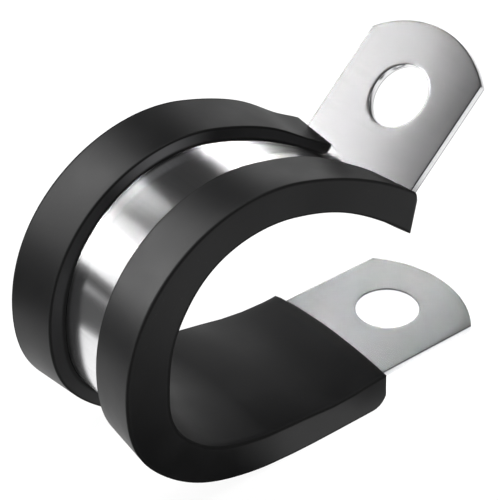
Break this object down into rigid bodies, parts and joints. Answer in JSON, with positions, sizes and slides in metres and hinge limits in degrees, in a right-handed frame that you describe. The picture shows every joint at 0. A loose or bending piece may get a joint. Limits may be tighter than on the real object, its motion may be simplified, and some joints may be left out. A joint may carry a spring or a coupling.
{
  "type": "rubber-lined p clip",
  "caption": "Sprung-open P clip: a folded steel band with drilled tabs and a rubber lining that grips its edges, for holding a pipe, hose or cable.",
  "frame": {"origin": "centre of the lower tab's hole, halfway through the steel", "axes": "+X runs out along the lower tab, away from the loop; Y is the loop's axis; +Z rises from the lower tab towards the upper one"},
  "size_m": [0.0444, 0.0178, 0.0323],
  "materials": {
    "steel": "bright rolled strip, finely brushed on the tabs, polished round the loop",
    "rubber": "satin moulded black rubber"
  },
  "bodies": {
    "root": {"steel_band": "steel", "rubber_lining": "rubber"}
  },
  "joints": []
}
